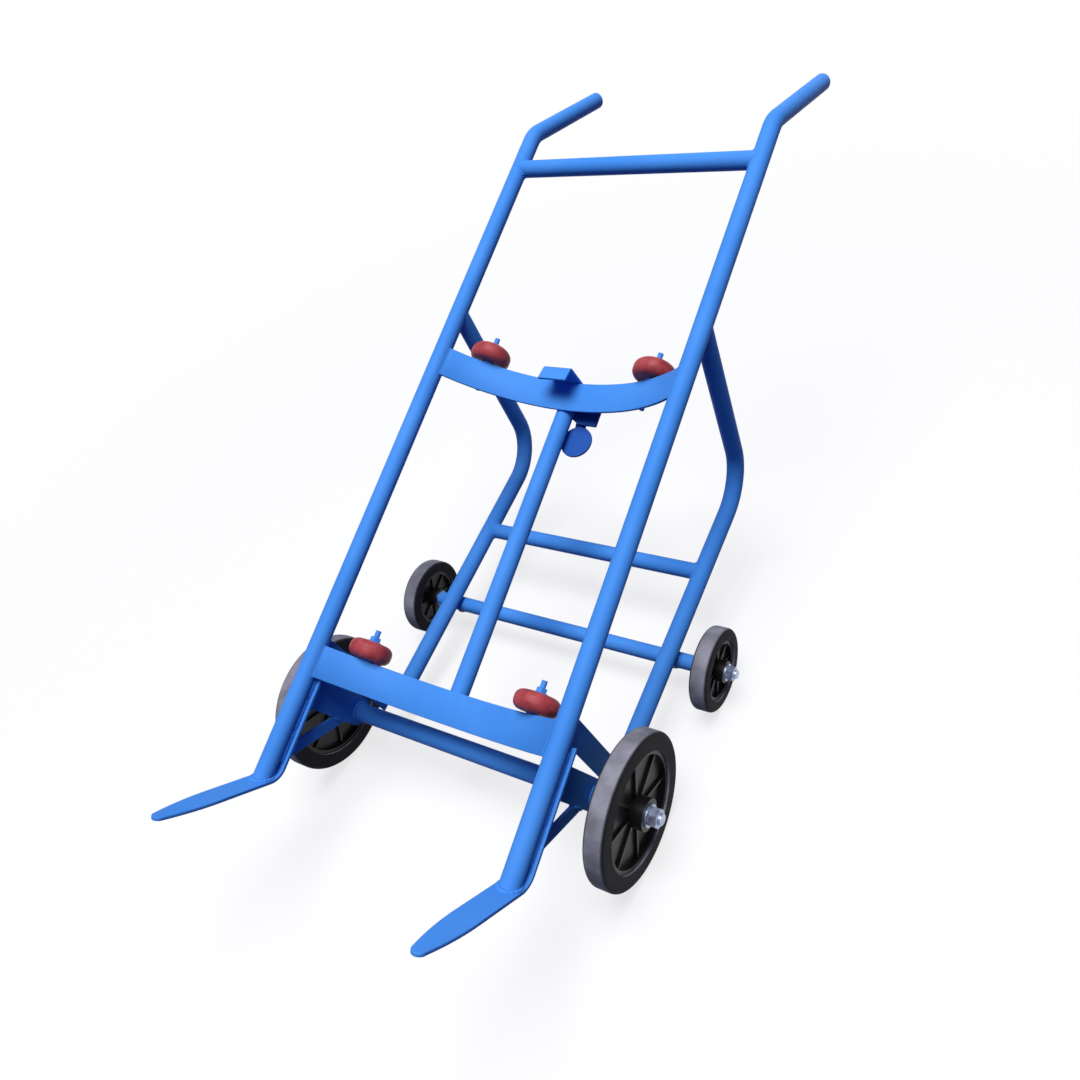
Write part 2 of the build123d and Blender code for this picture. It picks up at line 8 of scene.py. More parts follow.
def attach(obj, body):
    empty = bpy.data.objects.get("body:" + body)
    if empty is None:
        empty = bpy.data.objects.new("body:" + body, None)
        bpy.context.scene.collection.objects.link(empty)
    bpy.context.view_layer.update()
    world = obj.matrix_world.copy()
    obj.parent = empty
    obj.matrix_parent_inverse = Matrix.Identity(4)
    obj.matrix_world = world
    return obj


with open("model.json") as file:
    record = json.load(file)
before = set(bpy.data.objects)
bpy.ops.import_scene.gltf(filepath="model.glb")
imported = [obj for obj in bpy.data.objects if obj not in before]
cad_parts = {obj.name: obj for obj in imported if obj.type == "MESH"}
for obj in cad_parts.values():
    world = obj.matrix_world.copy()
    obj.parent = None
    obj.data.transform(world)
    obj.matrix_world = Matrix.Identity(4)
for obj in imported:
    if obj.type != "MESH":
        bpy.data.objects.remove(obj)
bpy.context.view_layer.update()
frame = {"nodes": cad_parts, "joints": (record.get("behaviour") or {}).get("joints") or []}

nodes = frame["nodes"]
bpy.ops.object.select_all(action="DESELECT")

# Side rails and their handle caps: one long steel tube a side, cold bent at the handle and
# closed by a welded dome. Sprayed all over in blue enamel, like every other bar of the frame,
# so the enamel is made here: an even satin coat with a faint orange peel and some dust.


def linear(code):
    """Colour of an sRGB hex code in linear light, with full alpha."""
    parts = [int(code[i:i + 2], 16) / 255 for i in (1, 3, 5)]
    return [p / 12.92 if p <= 0.04045 else ((p + 0.055) / 1.055) ** 2.4 for p in parts] + [1.0]


def add_node(tree, kind, settings=None, links=None):
    """Add a node, set its options and sockets, and link other nodes' outputs to its sockets."""
    made = tree.nodes.new(kind)
    for name, value in (settings or {}).items():
        if name in made.inputs:
            made.inputs[name].default_value = value
        else:
            setattr(made, name, value)
    for name, output in (links or {}).items():
        tree.links.new(output, made.inputs[name])
    return made


def new_finish(name, settings):
    """Start a finish: its node tree, its shader and the coordinates in metres."""
    finish = bpy.data.materials.new(name)
    finish.use_nodes = True
    tree = finish.node_tree
    shader = tree.nodes["Principled BSDF"]
    for socket, value in settings.items():
        shader.inputs[socket].default_value = value
    place = add_node(tree, "ShaderNodeTexCoord").outputs["Object"]
    return finish, tree, shader, place


def paint_nodes(finish, *names):
    """Give CAD nodes a finish."""
    for name in names:
        for slot in nodes[name].material_slots:
            slot.material = finish


def both(name):
    """Names of the left and the right one of a piece."""
    return f"left_{name}", f"right_{name}"


enamel_cloud_mm = 160
enamel_dust_mm = 28
enamel_peel_mm = 5  # the real ripple is about 2 mm and would not show
blue_enamel, tree, shader, place = new_finish(
    "blue_enamel_on_steel", {"IOR": 1.45, "Specular IOR Level": 0.06}
)
cloud = add_node(
    tree, "ShaderNodeTexNoise", {"Scale": 1000 / enamel_cloud_mm, "Detail": 3.0}, {"Vector": place}
)
enamel_tone = add_node(tree, "ShaderNodeValToRGB", links={"Fac": cloud.outputs["Fac"]})
enamel_tone.color_ramp.elements[0].position = 0.3
enamel_tone.color_ramp.elements[0].color = linear("#4086DA")
enamel_tone.color_ramp.elements[1].position = 0.7
enamel_tone.color_ramp.elements[1].color = linear("#4C91E4")
tree.links.new(enamel_tone.outputs["Color"], shader.inputs["Base Color"])
dust = add_node(
    tree, "ShaderNodeTexNoise", {"Scale": 1000 / enamel_dust_mm, "Detail": 6.0}, {"Vector": place}
)
enamel_gloss = add_node(
    tree, "ShaderNodeMapRange", {"To Min": 0.38, "To Max": 0.58}, {"Value": dust.outputs["Fac"]}
)
tree.links.new(enamel_gloss.outputs["Result"], shader.inputs["Roughness"])
peel = add_node(
    tree, "ShaderNodeTexNoise", {"Scale": 1000 / enamel_peel_mm, "Detail": 2.0}, {"Vector": place}
)
ripple = add_node(
    tree, "ShaderNodeBump", {"Strength": 0.03, "Distance": 0.001}, {"Height": peel.outputs["Fac"]}
)
tree.links.new(ripple.outputs["Normal"], shader.inputs["Normal"])
paint_nodes(blue_enamel, *both("side_rail"), *both("handle_cap"))

# Top crossbar: a length of the same tube, coped to the rails and welded all round. Each bead is
# a rippled ring that follows the cope, sprayed over with the frame. The rails' slope and place
# come from the hook's slide and the front wheels' axle.
rail_x_mm = 256.0
tube_r_mm = 16.85
crossbar_z_mm = 1282.0
front_axle_y_mm, front_axle_z_mm = 176.0, 162.0
bead_mm = 2.8  # radius of a bead's round, as in every size of a bead below
bead_swell = 0.16
bead_sides = 8
ring_steps = 72
ripple_steps = 4
flush_share = 0.12
joints = {joint["name"]: joint for joint in frame["joints"]}
slide_way = Vector(joints["hook_slide"]["axis"])
lie_back = Matrix.Rotation(-atan2(slide_way.y, slide_way.z), 3, "X")
front_axle = Vector((0, *joints["right_front_wheel_spin"]["pos_m"][1:]))


def on_truck(x, y, z):
    """Place of a point given in millimetres across, behind and along the rails."""
    return front_axle + lie_back @ Vector((x, y - front_axle_y_mm, z - front_axle_z_mm)) / 1000


def truck_heading(x, y, z):
    """Direction given across, behind and along the rails."""
    return lie_back @ Vector((x, y, z)).normalized()


# The ring that all the others are copied from, with a bead of radius 1
pattern_r = tube_r_mm / bead_mm
bpy.ops.mesh.primitive_torus_add(
    major_radius=pattern_r, minor_radius=1.0, major_segments=ring_steps, minor_segments=bead_sides
)
ring_pattern = bpy.context.object
bpy.ops.object.mode_set(mode="EDIT")
bpy.ops.mesh.select_all(action="DESELECT")
bpy.ops.object.mode_set(mode="OBJECT")
for vertex in ring_pattern.data.vertices:
    ring_step = round(atan2(vertex.co.y, vertex.co.x) / (2 * pi) * ring_steps)
    vertex.select = ring_step % ripple_steps < ripple_steps / 2
bpy.ops.object.mode_set(mode="EDIT")
bpy.ops.transform.shrink_fatten(value=bead_swell)
bpy.ops.object.mode_set(mode="OBJECT")


def copy_bead(pattern):
    """Copy a modelled bead, with a mesh of its own."""
    bead = bpy.data.objects.new("weld_bead", pattern.data.copy())
    bpy.context.scene.collection.objects.link(bead)
    return bead


def weld_ring(radius_mm, middle, heading, reach_at, bead=bead_mm, share_at=lambda foot: 1.0):
    """Rippled weld bead round a tube; reach_at says how far along the tube each place of it lies,
    and share_at how much of the bead stands proud there."""
    ring = copy_bead(ring_pattern)
    first = heading.orthogonal().normalized()
    second = heading.cross(first)
    for vertex in ring.data.vertices:
        turn = atan2(vertex.co.y, vertex.co.x)
        outward = cos(turn) * first + sin(turn) * second
        foot = middle + radius_mm / 1000 * outward
        bead_r = share_at(foot) * bead / 1000
        proud = bead_r * (hypot(vertex.co.x, vertex.co.y) - pattern_r)
        vertex.co = foot + (reach_at(foot) + bead_r * vertex.co.z) * heading + proud * outward
    return ring


def coped_ring(crossing, heading, host_heading, radius_mm=tube_r_mm, bead=bead_mm):
    """Weld bead round the end of a tube that is coped to another, thin where the two run flush;
    crossing is where their middle lines meet."""

    def square_to_host(way):
        return way - way.dot(host_heading) * host_heading

    across = square_to_host(heading)

    def reach_at(foot):
        apart = square_to_host(foot - crossing)
        half = apart.dot(across)
        room = half**2 - across.length_squared * (apart.length_squared - (tube_r_mm / 1000) ** 2)
        return max((sqrt(max(room, 0)) - half) / across.length_squared, 0)

    def share_at(foot):
        outward = (foot - crossing).normalized()
        host_outward = square_to_host(foot + reach_at(foot) * heading - crossing).normalized()
        return max(1 - outward.dot(host_outward), flush_share)

    return weld_ring(radius_mm, crossing, heading, reach_at, bead, share_at)


def weld_group(name, beads, body="frame"):
    """Join the beads of one kind of joint and spray them with the frame."""
    bpy.ops.object.select_all(action="DESELECT")
    for bead in beads:
        bead.select_set(True)
    bpy.context.view_layer.objects.active = beads[0]
    bpy.ops.object.join()
    group = bpy.context.object
    group.name = name
    bpy.ops.object.mode_set(mode="EDIT")
    bpy.ops.mesh.select_all(action="SELECT")
    bpy.ops.mesh.normals_make_consistent(inside=False)
    bpy.ops.object.mode_set(mode="OBJECT")
    bpy.ops.object.shade_smooth_by_angle(angle=radians(60))
    group.data.materials.clear()
    group.data.materials.append(blue_enamel)
    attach(group, body)


rail_heading = truck_heading(0, 0, 1)
paint_nodes(blue_enamel, "top_crossbar")
crossbar_beads = []
for hand in (-1, 1):
    crossing = on_truck(hand * rail_x_mm, 0, crossbar_z_mm)
    crossbar_beads.append(coped_ring(crossing, Vector((-hand, 0, 0)), rail_heading))
weld_group("crossbar_weld_beads", crossbar_beads)

# Cradle plates: flat bar on edge, rolled to the drum's curve, with the soft edges of hot-rolled
# bar. Their ends are welded to the rails' inner sides, with a bead down the back and a weld down
# the front that is ground to a smooth hollow.
bar_edge_mm = 0.9
plate_sag_mm = 91.6
plate_end_y_mm = -3.1
plate_t_mm = 5.0
plate_h_mm = 58.0
plate_z_mm = (797.5, 186.5)
plate_chord_mm = rail_x_mm - tube_r_mm
plate_r_mm = (plate_chord_mm**2 + plate_sag_mm**2) / (2 * plate_sag_mm)
plate_back_mm = plate_r_mm + plate_t_mm
plate_mid = Vector((0, plate_end_y_mm + plate_sag_mm - plate_r_mm))


def ease_edges(edge_mm, *names):
    """Round over the sharp edges of flat bars."""
    for name in names:
        bar = nodes[name]
        bar.modifiers.new("joined_corners", "WELD").merge_threshold = 1e-5
        flat = bar.modifiers.new("whole_faces", "DECIMATE")
        flat.decimate_type = "DISSOLVE"
        flat.angle_limit = radians(0.5)
        edge = bar.modifiers.new("eased_edges", "BEVEL")
        edge.width = edge_mm / 1000
        edge.segments = 2
        edge.limit_method = "ANGLE"
        edge.angle_limit = radians(50)
        edge.use_clamp_overlap = False
        edge.harden_normals = True


paint_nodes(blue_enamel, "upper_cradle_plate", "lower_cradle_plate")
ease_edges(bar_edge_mm, "upper_cradle_plate", "lower_cradle_plate")

# The straight bead that all the others are copied from, of length 1 and radius 1
run_mm = 50.0
run_ripple_mm = 5.0
bead_tail = (0.3, 0.7, 0.92)
run_ripples = [1.0, 1.0 + bead_swell] * int(run_mm / run_ripple_mm) + [1.0]
run_sizes = [*bead_tail, *run_ripples, *reversed(bead_tail)]
run_step = 1 / (len(run_sizes) - 1)
bpy.ops.object.select_all(action="DESELECT")
bpy.ops.mesh.primitive_circle_add(vertices=bead_sides, radius=run_sizes[0], fill_type="NGON")
run_pattern = bpy.context.object
bpy.ops.object.mode_set(mode="EDIT")
bpy.ops.mesh.select_all(action="SELECT")
for step, (size, next_size) in enumerate(zip(run_sizes, run_sizes[1:]), start=1):
    bpy.ops.mesh.extrude_region_move(TRANSFORM_OT_translate={"value": (0, 0, run_step)})
    growth = next_size / size
    bpy.ops.transform.resize(value=(growth, growth, 1), center_override=(0, 0, step * run_step))
bpy.ops.object.mode_set(mode="OBJECT")


def weld_run(start, end, bead=bead_mm):
    """Straight weld bead between two points."""
    run = copy_bead(run_pattern)
    heading = end - start
    size = Matrix.Diagonal((bead / 1000, bead / 1000, heading.length, 1))
    turn = heading.to_track_quat("Z", "Y").to_matrix().to_4x4()
    run.data.transform(Matrix.Translation(start) @ turn @ size)
    return run


def weld_line(x, y, low, high, bead=bead_mm):
    """Weld bead along the rails' direction."""
    return weld_run(on_truck(x, y, low), on_truck(x, y, high), bead)


def where_rounds_meet(middle_a, radius_a, middle_b, radius_b):
    """The two places where two circles cross, the one with the smaller x first."""
    between = middle_b - middle_a
    share = (between.length_squared + radius_a**2 - radius_b**2) / (2 * between.length)
    aside = sqrt(radius_a**2 - share**2)
    along = between.normalized()
    square = Vector((-along.y, along.x))
    spots = [middle_a + share * along + way * aside * square for way in (-1, 1)]
    return sorted(spots, key=lambda spot: spot.x)


# The ground weld at the right end of a plate, which the other three are copied from
hollow_r_mm = 22.0
hollow_sunk_mm = 0.15
hollow_inset_mm = 0.3
hollow_steps = 8
rail_place = Vector((rail_x_mm, 0))
plate_reach_mm = plate_r_mm - hollow_r_mm + hollow_sunk_mm
rail_reach_mm = tube_r_mm + hollow_r_mm - hollow_sunk_mm
hollow_mid = where_rounds_meet(plate_mid, plate_reach_mm, rail_place, rail_reach_mm)[0]
at_rail = (rail_place - hollow_mid).normalized()
at_plate = (hollow_mid - plate_mid).normalized()
hollow_outline = [
    hollow_mid + hollow_r_mm * at_rail.slerp(at_plate, step / hollow_steps)
    for step in range(hollow_steps + 1)
]
inside_plate_mm = plate_r_mm + plate_t_mm / 2
inside_rail_mm = tube_r_mm - plate_t_mm / 2
hollow_outline.append(where_rounds_meet(plate_mid, inside_plate_mm, rail_place, inside_rail_mm)[0])
bpy.ops.object.select_all(action="DESELECT")
bpy.ops.mesh.primitive_circle_add(vertices=len(hollow_outline), fill_type="NGON")
hollow_pattern = bpy.context.object
for vertex, corner in zip(hollow_pattern.data.vertices, hollow_outline):
    vertex.co = on_truck(*corner, hollow_inset_mm)
hollow_length = (plate_h_mm - 2 * hollow_inset_mm) / 1000
bpy.ops.object.mode_set(mode="EDIT")
bpy.ops.mesh.select_all(action="SELECT")
bpy.ops.mesh.extrude_region_move(TRANSFORM_OT_translate={"value": hollow_length * rail_heading})
bpy.ops.object.mode_set(mode="OBJECT")

back_bead_mm = 2.2
back_inset_mm = 1.0
back_spot = where_rounds_meet(plate_mid, plate_back_mm, rail_place, tube_r_mm)[0]
plate_beads = []
for plate_low in plate_z_mm:
    for hand in (-1, 1):
        hollow_weld = copy_bead(hollow_pattern)
        raised = Matrix.Translation(plate_low / 1000 * rail_heading)
        hollow_weld.data.transform(Matrix.Diagonal((hand, 1, 1, 1)) @ raised)
        plate_beads.append(hollow_weld)
        low, high = plate_low + back_inset_mm, plate_low + plate_h_mm - back_inset_mm
        plate_beads.append(weld_line(hand * back_spot.x, back_spot.y, low, high, back_bead_mm))
weld_group("cradle_weld_beads", plate_beads)

# Centre tube: the same tube again, standing behind both plates. A bead runs down each side of
# it where it touches a plate.
weld_gap_mm = 0.2
centre_x_mm = -12.5
centre_lift_mm = 1.6
centre_inset_mm = 7.0


def behind_plates(x, radius_mm):
    """Place across and behind the rails of a round bar that is welded to the plates' backs."""
    return Vector((x, plate_mid.y + sqrt((plate_back_mm + weld_gap_mm + radius_mm) ** 2 - x**2)))


def plate_back_beads(bar_place, radius_mm, lift_mm, inset_mm, bead=bead_mm):
    """Weld beads down both sides of a round bar where it stands against the plates' backs."""
    plate_round_mm, bar_round_mm = plate_back_mm + lift_mm, radius_mm + lift_mm
    return [
        weld_line(*spot, low + inset_mm, low + plate_h_mm - inset_mm, bead)
        for low in plate_z_mm
        for spot in where_rounds_meet(plate_mid, plate_round_mm, bar_place, bar_round_mm)
    ]


centre_place = behind_plates(centre_x_mm, tube_r_mm)
paint_nodes(blue_enamel, "centre_tube")
weld_group(
    "centre_tube_weld_beads",
    plate_back_beads(centre_place, tube_r_mm, centre_lift_mm, centre_inset_mm),
)

# Rear legs: bent lengths of the frame tube that leave the backs of the rails, turn at the knee and
# run down to the foot bars. Their upper ends are coped to the rails and welded round.
leg_x_mm = 248.0
leg_top_z_mm = 935.4
knee_y_mm, knee_z_mm = 396.0, 844.0
leg_lean = radians(11.2)
leg_bead_mm = 1.8


def leg_y_mm(z):
    """How far behind the rails the lower run of a leg is."""
    return knee_y_mm - tan(leg_lean) * (knee_z_mm - z)


leg_heading = truck_heading(0, sin(leg_lean), cos(leg_lean))
paint_nodes(blue_enamel, *both("rear_leg"))
leg_beads = []
for hand in (-1, 1):
    leg_top = on_truck(hand * rail_x_mm, 0, leg_top_z_mm)
    knee = on_truck(hand * leg_x_mm, knee_y_mm, knee_z_mm)
    top_heading = (knee - leg_top).normalized()
    leg_beads.append(coped_ring(leg_top, top_heading, rail_heading, bead=leg_bead_mm))
weld_group("leg_weld_beads", leg_beads)

# Rear brace: a slightly thinner tube that holds the two legs apart. Both of its ends are coped to
# the legs and welded round.
brace_r_mm = 15.9
brace_z_mm = 621.0
paint_nodes(blue_enamel, "rear_brace_tube")
brace_beads = []
for hand in (-1, 1):
    crossing = on_truck(hand * leg_x_mm, leg_y_mm(brace_z_mm), brace_z_mm)
    brace_beads.append(coped_ring(crossing, Vector((-hand, 0, 0)), leg_heading, brace_r_mm))
weld_group("brace_weld_beads", brace_beads)

# Toe bars: one flat bar a side, bent forward at the heel and tapered to a round tip. The rail's
# foot is welded round on the toe, and the upright is welded to the back of the rail, both sides.
toe_turn = radians(116.5)
toe_t_mm = 6.0
heel_z_mm = 7.5
heel_bend_mm = 28.0
foot_bead_mm = 3.6
upright_bead_mm = 3.0
upright_seam_x_mm, upright_seam_y_mm = 12.6, 14.4
upright_seam_from_mm = 34.0
upright_run_mm = 58.0
upright_runs = 3
heel_mid_y_mm = tube_r_mm + weld_gap_mm - heel_bend_mm
heel_mid_z_mm = heel_z_mm + (toe_t_mm / 2 + heel_bend_mm) / tan(toe_turn / 2)
truck_zero = on_truck(0, 0, 0)
rearward = truck_heading(0, 1, 0)


def on_toe(foot):
    """How far along the rail a toe bar's upper face is, at a place on the round of the rail's foot."""
    y = 1000 * (foot - truck_zero).dot(rearward)
    flat_y = heel_mid_y_mm - heel_bend_mm * cos(toe_turn)
    flat_z = heel_mid_z_mm - heel_bend_mm * sin(toe_turn)
    if y < flat_y:
        return (flat_z - (y - flat_y) / tan(toe_turn)) / 1000
    return (heel_mid_z_mm - sqrt(heel_bend_mm**2 - (y - heel_mid_y_mm) ** 2)) / 1000


paint_nodes(blue_enamel, *both("toe_bar"))
ease_edges(bar_edge_mm, *both("toe_bar"))
toe_beads = []
for hand in (-1, 1):
    rail_foot = on_truck(hand * rail_x_mm, 0, 0)
    toe_beads.append(weld_ring(tube_r_mm, rail_foot, rail_heading, on_toe, foot_bead_mm))
    for side in (-1, 1):
        x = hand * rail_x_mm + side * upright_seam_x_mm
        for run in range(upright_runs):
            low = upright_seam_from_mm + run * upright_run_mm
            high = low + upright_run_mm
            toe_beads.append(weld_line(x, upright_seam_y_mm, low, high, upright_bead_mm))
weld_group("toe_bar_weld_beads", toe_beads)

# Foot bars: flat bars on edge that tie the rails to the feet of the legs, with a bead on each
# face at both ends.
bar_seam_mm = 4.2
foot_bar_y_mm = 17.4
foot_bar_seam_mm = (220.0, 258.0)
leg_foot_seam_mm = (206.0, 221.0)
leg_foot_bead_mm = 2.2
paint_nodes(blue_enamel, *both("foot_bar"))
ease_edges(bar_edge_mm, *both("foot_bar"))
foot_bar_beads = []
for hand in (-1, 1):
    for face in (-1, 1):
        x = hand * rail_x_mm + face * bar_seam_mm
        foot_bar_beads.append(weld_line(x, foot_bar_y_mm, *foot_bar_seam_mm))
        before_leg = sqrt(tube_r_mm**2 - (x - hand * leg_x_mm) ** 2) / cos(leg_lean)
        low, high = [on_truck(x, leg_y_mm(z) - before_leg, z) for z in leg_foot_seam_mm]
        foot_bar_beads.append(weld_run(low, high, leg_foot_bead_mm))
weld_group("foot_bar_weld_beads", foot_bar_beads)

# Axle brackets and struts: flat plates from the toe bars' uprights to the front axle tube, each
# propped by a slanted flat below. Beads run along every seam and round the tube.
bracket_y_mm = 23.6
bracket_seam_mm = (139.0, 186.0)
strut_foot_mm = (31.0, 57.0)
strut_head_mm = (113.0, 142.0)
strut_head_z_mm = 134.6
tube_seam_mm = 3.6
ring_lift_mm = 0.6


def flat_ring(radius_mm, middle, heading, bead=bead_mm):
    """Weld bead round a bar that goes through or stands under a flat plate."""
    return weld_ring(radius_mm + ring_lift_mm, middle, heading, lambda foot: 0, bead)


paint_nodes(blue_enamel, *both("axle_bracket"), *both("axle_strut"), "front_axle_tube")
ease_edges(bar_edge_mm, *both("axle_bracket"), *both("axle_strut"))
bracket_beads = []
for hand in (-1, 1):
    for face in (-1, 1):
        x = hand * rail_x_mm + face * bar_seam_mm
        bracket_beads.append(weld_line(x, bracket_y_mm, *bracket_seam_mm))
        bracket_beads.append(weld_line(x, bracket_y_mm, *strut_foot_mm))
        strut_near, strut_far = [on_truck(x, y, strut_head_z_mm) for y in strut_head_mm]
        bracket_beads.append(weld_run(strut_near, strut_far))
        ring_x = hand * rail_x_mm + face * tube_seam_mm
        ring_at = on_truck(ring_x, front_axle_y_mm, front_axle_z_mm)
        bracket_beads.append(flat_ring(tube_r_mm, ring_at, Vector((face, 0, 0))))
weld_group("bracket_weld_beads", bracket_beads)

# Rear axle tube: laid across the backs of the legs and welded round the spot where it touches
# each of them, so the bead follows both rounds.
rear_axle_r_mm = 15.0
rear_axle_z_mm = 447.0
rear_axle_bead_mm = 3.2
spot_r_mm = 10.5
axle_apart_mm = tube_r_mm + weld_gap_mm + rear_axle_r_mm
rear_axle_y_mm = leg_y_mm(rear_axle_z_mm) + axle_apart_mm / cos(leg_lean)
toward_axle = leg_heading.cross(Vector((-1, 0, 0)))
leg_mid = on_truck(0, rear_axle_y_mm, rear_axle_z_mm) - axle_apart_mm / 1000 * toward_axle


def between_rounds(foot):
    """How far from a leg's middle line the bead lies, halfway from the leg's round to the tube's."""
    aside = 1000 * abs(foot.x) - leg_x_mm
    along = 1000 * (foot - leg_mid).dot(leg_heading)
    leg_round = sqrt(tube_r_mm**2 - aside**2)
    axle_round = axle_apart_mm - sqrt(rear_axle_r_mm**2 - along**2)
    return (leg_round + axle_round) / 2 / 1000


paint_nodes(blue_enamel, "rear_axle_tube")
rear_axle_beads = []
for hand in (-1, 1):
    spot_at = leg_mid + Vector((hand * leg_x_mm / 1000, 0, 0))
    rear_axle_beads.append(
        weld_ring(spot_r_mm, spot_at, toward_axle, between_rounds, rear_axle_bead_mm)
    )
weld_group("rear_axle_weld_beads", rear_axle_beads)

# Roller studs with their washers and nuts: threaded bar welded to the backs of the plates, sprayed
# with the frame, washers and nuts too.
stud_r_mm = 5.0
stud_x_mm = (-182.0, 166.0)
stud_lift_mm = 1.0
stud_inset_mm = 6.0
stud_bead_mm = 1.8
paint_nodes(blue_enamel, "roller_studs", "roller_washers", "roller_nuts")
stud_beads = []
for x in stud_x_mm:
    stud_place = behind_plates(x, stud_r_mm)
    stud_beads += plate_back_beads(stud_place, stud_r_mm, stud_lift_mm, stud_inset_mm, stud_bead_mm)
weld_group("stud_weld_beads", stud_beads)

# Drum hook: a bent plate over the rim of the drum, welded on a round stem that slides in the
# centre tube. The bead under the plate moves with it.
stem_r_mm = 13.55
hook_under_mm = 855.8
hook_bead_mm = 1.8
paint_nodes(blue_enamel, "hook_stem", "hook_plate")
ease_edges(bar_edge_mm, "hook_plate")
stem_top = on_truck(*centre_place, hook_under_mm)
weld_group("hook_weld_bead", [flat_ring(stem_r_mm, stem_top, rail_heading, hook_bead_mm)], "hook")

# Lock: a lug welded behind the centre tube's side carries a strap with a round weight, on a bolt
# with a spacer and a nut. Its pieces get a darker copy of the frame's enamel, which is painted shade.
lug_seams_mm = ((13.4, 9.9), (2.4, 17.0))
lug_seam_z_mm = (800.0, 838.0)
lug_bead_mm = 2.0
# A darker copy of the enamel that paints shade onto the lock's pieces
lock_shade_enamel = blue_enamel.copy()
lock_shade_enamel.name = "painted_shade_blue_enamel_on_steel"
lock_shade_tone = lock_shade_enamel.node_tree.nodes[enamel_tone.name].color_ramp
lock_shade_tone.elements[0].color = linear("#234F9E")
lock_shade_tone.elements[1].color = linear("#2A5AAC")
paint_nodes(
    lock_shade_enamel, "lock_lug", "lock_strap", "lock_disc", "lock_spacer", "lock_bolt", "lock_nut"
)
ease_edges(bar_edge_mm, "lock_lug", "lock_strap", "lock_disc")
weld_group("lug_weld_beads", [
    weld_line(centre_place.x + aside, centre_place.y + behind, *lug_seam_z_mm, lug_bead_mm)
    for aside, behind in lug_seams_mm
])

# With the last weld made, the patterns go
for pattern in (ring_pattern, run_pattern, hollow_pattern):
    bpy.data.objects.remove(pattern)

# Axle rods, washers and nuts: plain turned and pressed steel, zinc plated, with a soft mottled
# shine. The nuts are screwed on after painting, so they stay bare.
zinc_spangle_mm = 9
zinc_plate, tree, shader, place = new_finish("zinc_plate_on_steel", {"Metallic": 1.0})
spangle = add_node(
    tree, "ShaderNodeTexNoise", {"Scale": 1000 / zinc_spangle_mm, "Detail": 4.0}, {"Vector": place}
)
zinc_tone = add_node(tree, "ShaderNodeValToRGB", links={"Fac": spangle.outputs["Fac"]})
zinc_tone.color_ramp.elements[0].position = 0.3
zinc_tone.color_ramp.elements[0].color = linear("#8E98B4")
zinc_tone.color_ramp.elements[1].position = 0.7
zinc_tone.color_ramp.elements[1].color = linear("#B9C2DC")
tree.links.new(zinc_tone.outputs["Color"], shader.inputs["Base Color"])
zinc_gloss = add_node(
    tree, "ShaderNodeMapRange", {"To Min": 0.25, "To Max": 0.45}, {"Value": spangle.outputs["Fac"]}
)
tree.links.new(zinc_gloss.outputs["Result"], shader.inputs["Roughness"])
for end in ("front", "rear"):
    paint_nodes(zinc_plate, f"{end}_axle_rod", f"{end}_axle_washers", f"{end}_axle_nuts")

# Tyres: solid black rubber, moulded smooth and pressed on the rims. The tread is much paler than
# the side walls, partly greyed by handling and a pale bloom and partly a painted sheen of
# reflected light; the side walls keep the dark skin of the mould.
rubber_bloom_mm = 45
rubber_grain_mm = 3  # the real grain is finer than 1 mm and would not show
tyre_rubber, tree, shader, place = new_finish(
    "solid_black_rubber", {"IOR": 1.52, "Specular IOR Level": 0.15}
)
bloom = add_node(
    tree, "ShaderNodeTexNoise", {"Scale": 1000 / rubber_bloom_mm, "Detail": 5.0}, {"Vector": place}
)
wall_tone = add_node(tree, "ShaderNodeValToRGB", links={"Fac": bloom.outputs["Fac"]})
wall_tone.color_ramp.elements[0].position = 0.35
wall_tone.color_ramp.elements[0].color = linear("#151417")
wall_tone.color_ramp.elements[1].position = 0.75
wall_tone.color_ramp.elements[1].color = linear("#232226")
# The tread's pale tone is partly handling and bloom, partly a painted sheen of reflected light
tread_tone_with_painted_sheen = add_node(tree, "ShaderNodeValToRGB", links={"Fac": bloom.outputs["Fac"]})
tread_tone_with_painted_sheen.color_ramp.elements[0].position = 0.35
tread_tone_with_painted_sheen.color_ramp.elements[0].color = linear("#6C6B74")
tread_tone_with_painted_sheen.color_ramp.elements[1].position = 0.75
tread_tone_with_painted_sheen.color_ramp.elements[1].color = linear("#9A99A3")
facing = add_node(tree, "ShaderNodeNewGeometry")
sideways = add_node(tree, "ShaderNodeSeparateXYZ", links={0: facing.outputs["Normal"]})
wall_turn = add_node(tree, "ShaderNodeMath", {"operation": "ABSOLUTE"}, {0: sideways.outputs["X"]})
wall_share = add_node(
    tree, "ShaderNodeMapRange",
    {"From Min": 0.25, "From Max": 0.7},
    {"Value": wall_turn.outputs["Value"]},
)
rubber_tone = add_node(
    tree, "ShaderNodeMixRGB",
    links={
        0: wall_share.outputs["Result"],
        1: tread_tone_with_painted_sheen.outputs["Color"],
        2: wall_tone.outputs["Color"],
    },
)
tree.links.new(rubber_tone.outputs["Color"], shader.inputs["Base Color"])
rubber_gloss = add_node(
    tree, "ShaderNodeMapRange", {"To Min": 0.65, "To Max": 0.9}, {"Value": bloom.outputs["Fac"]}
)
tree.links.new(rubber_gloss.outputs["Result"], shader.inputs["Roughness"])
grain = add_node(
    tree, "ShaderNodeTexNoise", {"Scale": 1000 / rubber_grain_mm, "Detail": 2.0}, {"Vector": place}
)
scuff = add_node(
    tree, "ShaderNodeBump", {"Strength": 0.12, "Distance": 0.0008}, {"Height": grain.outputs["Fac"]}
)
tree.links.new(scuff.outputs["Normal"], shader.inputs["Normal"])
wheel_places = [*both("front"), *both("rear")]
paint_nodes(tyre_rubber, *[f"{wheel}_tyre" for wheel in wheel_places])

